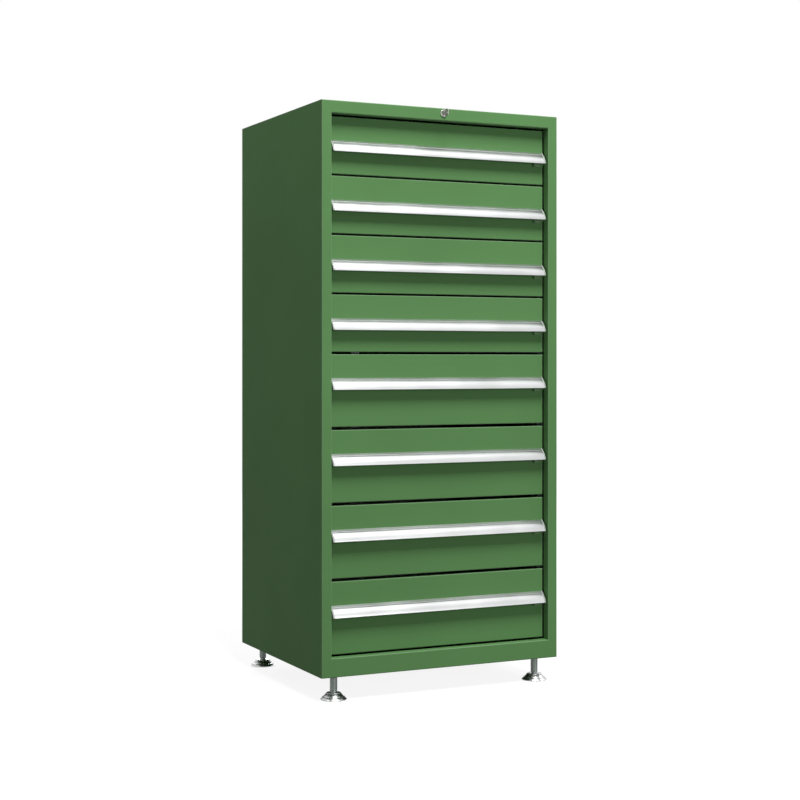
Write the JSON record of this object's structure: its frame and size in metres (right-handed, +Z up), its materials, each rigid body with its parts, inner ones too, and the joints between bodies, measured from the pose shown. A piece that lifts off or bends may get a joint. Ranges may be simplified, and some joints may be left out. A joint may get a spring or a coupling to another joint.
{
  "type": "tool cabinet",
  "caption": "Tall sheet-steel tool cabinet with full-width drawers on telescopic slides, bar handles with sliding catches, a central lock in the top rail and levelling feet.",
  "frame": {"origin": "on the floor under the middle of the overall box, whose front is the bow of the key in its lock", "axes": "+X to the right seen from the front, +Y from the front to the back, +Z up"},
  "size_m": [0.708, 0.628, 1.565],
  "materials": {
    "green_paint": "satin leaf-green powder coat on sheet steel",
    "tray_paint": "light grey powder coat on sheet steel",
    "aluminium": "satin anodised extrusion",
    "green_plastic": "moulded dark green plastic",
    "zinc_steel": "bright zinc-plated steel",
    "chrome": "polished chrome plate",
    "nickel": "nickel-plated key blank, slightly dull"
  },
  "bodies": {
    "cabinet": {"left_side_panel": "green_paint", "right_side_panel": "green_paint", "top_panel": "green_paint", "base_panel": "green_paint", "back_panel": "green_paint", "rail_posts": "zinc_steel", "cabinet_rails": "zinc_steel", "lock_barrel_and_rod_hanger": "chrome"},
    "lock_core": {"lock_plug": "chrome", "lock_key": "nickel", "lock_rod": "zinc_steel"},
    "lock_bar": {"lock_bar": "zinc_steel"},
    "drawer_1": {"drawer_1_front": "green_paint", "drawer_1_tray": "tray_paint", "drawer_1_handle": "aluminium"},
    "drawer_1_latch": {"drawer_1_latch": "green_plastic"},
    "drawer_1_slides": {"drawer_1_middle_rails": "zinc_steel"},
    "drawer_2": {"drawer_2_front": "green_paint", "drawer_2_tray": "tray_paint", "drawer_2_handle": "aluminium"},
    "drawer_2_latch": {"drawer_2_latch": "green_plastic"},
    "drawer_2_slides": {"drawer_2_middle_rails": "zinc_steel"},
    "drawer_3": {"drawer_3_front": "green_paint", "drawer_3_tray": "tray_paint", "drawer_3_handle": "aluminium"},
    "drawer_3_latch": {"drawer_3_latch": "green_plastic"},
    "drawer_3_slides": {"drawer_3_middle_rails": "zinc_steel"},
    "drawer_4": {"drawer_4_front": "green_paint", "drawer_4_tray": "tray_paint", "drawer_4_handle": "aluminium"},
    "drawer_4_latch": {"drawer_4_latch": "green_plastic"},
    "drawer_4_slides": {"drawer_4_middle_rails": "zinc_steel"},
    "drawer_5": {"drawer_5_front": "green_paint", "drawer_5_tray": "tray_paint", "drawer_5_handle": "aluminium"},
    "drawer_5_latch": {"drawer_5_latch": "green_plastic"},
    "drawer_5_slides": {"drawer_5_middle_rails": "zinc_steel"},
    "drawer_6": {"drawer_6_front": "green_paint", "drawer_6_tray": "tray_paint", "drawer_6_handle": "aluminium"},
    "drawer_6_latch": {"drawer_6_latch": "green_plastic"},
    "drawer_6_slides": {"drawer_6_middle_rails": "zinc_steel"},
    "drawer_7": {"drawer_7_front": "green_paint", "drawer_7_tray": "tray_paint", "drawer_7_handle": "aluminium"},
    "drawer_7_latch": {"drawer_7_latch": "green_plastic"},
    "drawer_7_slides": {"drawer_7_middle_rails": "zinc_steel"},
    "drawer_8": {"drawer_8_front": "green_paint", "drawer_8_tray": "tray_paint", "drawer_8_handle": "aluminium"},
    "drawer_8_latch": {"drawer_8_latch": "green_plastic"},
    "drawer_8_slides": {"drawer_8_middle_rails": "zinc_steel"},
    "front_left_foot_cup": {"front_left_foot_cup": "chrome"},
    "front_left_foot_stem": {"front_left_foot_stem": "zinc_steel"},
    "front_right_foot_cup": {"front_right_foot_cup": "chrome"},
    "front_right_foot_stem": {"front_right_foot_stem": "zinc_steel"},
    "rear_left_foot_cup": {"rear_left_foot_cup": "chrome"},
    "rear_left_foot_stem": {"rear_left_foot_stem": "zinc_steel"},
    "rear_right_foot_cup": {"rear_right_foot_cup": "chrome"},
    "rear_right_foot_stem": {"rear_right_foot_stem": "zinc_steel"}
  },
  "joints": [
    {"name": "lock_turn", "type": "hinge", "parent": "cabinet", "child": "lock_core", "pos_m": [0, -0.286, 1.552], "axis": [0, 1, 0], "range_deg": [0, 90]},
    {"name": "lock_bar_lift", "type": "slide", "parent": "cabinet", "child": "lock_bar", "axis": [0, 0, 1], "range_m": [0, 0.00848]},
    {"name": "drawer_1_pull", "type": "slide", "parent": "cabinet", "child": "drawer_1", "axis": [0, -1, 0], "range_m": [0, 0.48]},
    {"name": "drawer_1_latch_slide", "type": "slide", "parent": "drawer_1", "child": "drawer_1_latch", "axis": [-1, 0, 0], "range_m": [0, 0.008], "stiffness_N_per_m": 400, "springref_m": -0.005},
    {"name": "drawer_1_slides_run", "type": "slide", "parent": "cabinet", "child": "drawer_1_slides", "axis": [0, -1, 0], "range_m": [0, 0.24]},
    {"name": "drawer_2_pull", "type": "slide", "parent": "cabinet", "child": "drawer_2", "axis": [0, -1, 0], "range_m": [0, 0.48]},
    {"name": "drawer_2_latch_slide", "type": "slide", "parent": "drawer_2", "child": "drawer_2_latch", "axis": [-1, 0, 0], "range_m": [0, 0.008], "stiffness_N_per_m": 400, "springref_m": -0.005},
    {"name": "drawer_2_slides_run", "type": "slide", "parent": "cabinet", "child": "drawer_2_slides", "axis": [0, -1, 0], "range_m": [0, 0.24]},
    {"name": "drawer_3_pull", "type": "slide", "parent": "cabinet", "child": "drawer_3", "axis": [0, -1, 0], "range_m": [0, 0.48]},
    {"name": "drawer_3_latch_slide", "type": "slide", "parent": "drawer_3", "child": "drawer_3_latch", "axis": [-1, 0, 0], "range_m": [0, 0.008], "stiffness_N_per_m": 400, "springref_m": -0.005},
    {"name": "drawer_3_slides_run", "type": "slide", "parent": "cabinet", "child": "drawer_3_slides", "axis": [0, -1, 0], "range_m": [0, 0.24]},
    {"name": "drawer_4_pull", "type": "slide", "parent": "cabinet", "child": "drawer_4", "axis": [0, -1, 0], "range_m": [0, 0.48]},
    {"name": "drawer_4_latch_slide", "type": "slide", "parent": "drawer_4", "child": "drawer_4_latch", "axis": [-1, 0, 0], "range_m": [0, 0.008], "stiffness_N_per_m": 400, "springref_m": -0.005},
    {"name": "drawer_4_slides_run", "type": "slide", "parent": "cabinet", "child": "drawer_4_slides", "axis": [0, -1, 0], "range_m": [0, 0.24]},
    {"name": "drawer_5_pull", "type": "slide", "parent": "cabinet", "child": "drawer_5", "axis": [0, -1, 0], "range_m": [0, 0.48]},
    {"name": "drawer_5_latch_slide", "type": "slide", "parent": "drawer_5", "child": "drawer_5_latch", "axis": [-1, 0, 0], "range_m": [0, 0.008], "stiffness_N_per_m": 400, "springref_m": -0.005},
    {"name": "drawer_5_slides_run", "type": "slide", "parent": "cabinet", "child": "drawer_5_slides", "axis": [0, -1, 0], "range_m": [0, 0.24]},
    {"name": "drawer_6_pull", "type": "slide", "parent": "cabinet", "child": "drawer_6", "axis": [0, -1, 0], "range_m": [0, 0.48]},
    {"name": "drawer_6_latch_slide", "type": "slide", "parent": "drawer_6", "child": "drawer_6_latch", "axis": [-1, 0, 0], "range_m": [0, 0.008], "stiffness_N_per_m": 400, "springref_m": -0.005},
    {"name": "drawer_6_slides_run", "type": "slide", "parent": "cabinet", "child": "drawer_6_slides", "axis": [0, -1, 0], "range_m": [0, 0.24]},
    {"name": "drawer_7_pull", "type": "slide", "parent": "cabinet", "child": "drawer_7", "axis": [0, -1, 0], "range_m": [0, 0.48]},
    {"name": "drawer_7_latch_slide", "type": "slide", "parent": "drawer_7", "child": "drawer_7_latch", "axis": [-1, 0, 0], "range_m": [0, 0.008], "stiffness_N_per_m": 400, "springref_m": -0.005},
    {"name": "drawer_7_slides_run", "type": "slide", "parent": "cabinet", "child": "drawer_7_slides", "axis": [0, -1, 0], "range_m": [0, 0.24]},
    {"name": "drawer_8_pull", "type": "slide", "parent": "cabinet", "child": "drawer_8", "axis": [0, -1, 0], "range_m": [0, 0.48]},
    {"name": "drawer_8_latch_slide", "type": "slide", "parent": "drawer_8", "child": "drawer_8_latch", "axis": [-1, 0, 0], "range_m": [0, 0.008], "stiffness_N_per_m": 400, "springref_m": -0.005},
    {"name": "drawer_8_slides_run", "type": "slide", "parent": "cabinet", "child": "drawer_8_slides", "axis": [0, -1, 0], "range_m": [0, 0.24]},
    {"name": "front_left_foot_height", "type": "slide", "parent": "cabinet", "child": "front_left_foot_cup", "axis": [0, 0, 1], "range_m": [0, 0.028]},
    {"name": "front_left_foot_screw", "type": "hinge", "parent": "front_left_foot_cup", "child": "front_left_foot_stem", "pos_m": [-0.304, -0.246, 0], "axis": [0, 0, 1], "range_deg": [0, 4040]},
    {"name": "front_right_foot_height", "type": "slide", "parent": "cabinet", "child": "front_right_foot_cup", "axis": [0, 0, 1], "range_m": [0, 0.028]},
    {"name": "front_right_foot_screw", "type": "hinge", "parent": "front_right_foot_cup", "child": "front_right_foot_stem", "pos_m": [0.304, -0.246, 0], "axis": [0, 0, 1], "range_deg": [0, 4040]},
    {"name": "rear_left_foot_height", "type": "slide", "parent": "cabinet", "child": "rear_left_foot_cup", "axis": [0, 0, 1], "range_m": [0, 0.028]},
    {"name": "rear_left_foot_screw", "type": "hinge", "parent": "rear_left_foot_cup", "child": "rear_left_foot_stem", "pos_m": [-0.304, 0.274, 0], "axis": [0, 0, 1], "range_deg": [0, 4040]},
    {"name": "rear_right_foot_height", "type": "slide", "parent": "cabinet", "child": "rear_right_foot_cup", "axis": [0, 0, 1], "range_m": [0, 0.028]},
    {"name": "rear_right_foot_screw", "type": "hinge", "parent": "rear_right_foot_cup", "child": "rear_right_foot_stem", "pos_m": [0.304, 0.274, 0], "axis": [0, 0, 1], "range_deg": [0, 4040]}
  ],
  "couplings": [
    {"joint": "lock_turn", "follows": "lock_bar_lift", "rad_per_m": 185.12},
    {"joint": "drawer_1_slides_run", "follows": "drawer_1_pull", "ratio": 0.5},
    {"joint": "drawer_2_slides_run", "follows": "drawer_2_pull", "ratio": 0.5},
    {"joint": "drawer_3_slides_run", "follows": "drawer_3_pull", "ratio": 0.5},
    {"joint": "drawer_4_slides_run", "follows": "drawer_4_pull", "ratio": 0.5},
    {"joint": "drawer_5_slides_run", "follows": "drawer_5_pull", "ratio": 0.5},
    {"joint": "drawer_6_slides_run", "follows": "drawer_6_pull", "ratio": 0.5},
    {"joint": "drawer_7_slides_run", "follows": "drawer_7_pull", "ratio": 0.5},
    {"joint": "drawer_8_slides_run", "follows": "drawer_8_pull", "ratio": 0.5},
    {"joint": "front_left_foot_screw", "follows": "front_left_foot_height", "rad_per_m": 2513.3},
    {"joint": "front_right_foot_screw", "follows": "front_right_foot_height", "rad_per_m": 2513.3},
    {"joint": "rear_left_foot_screw", "follows": "rear_left_foot_height", "rad_per_m": 2513.3},
    {"joint": "rear_right_foot_screw", "follows": "rear_right_foot_height", "rad_per_m": 2513.3}
  ]
}
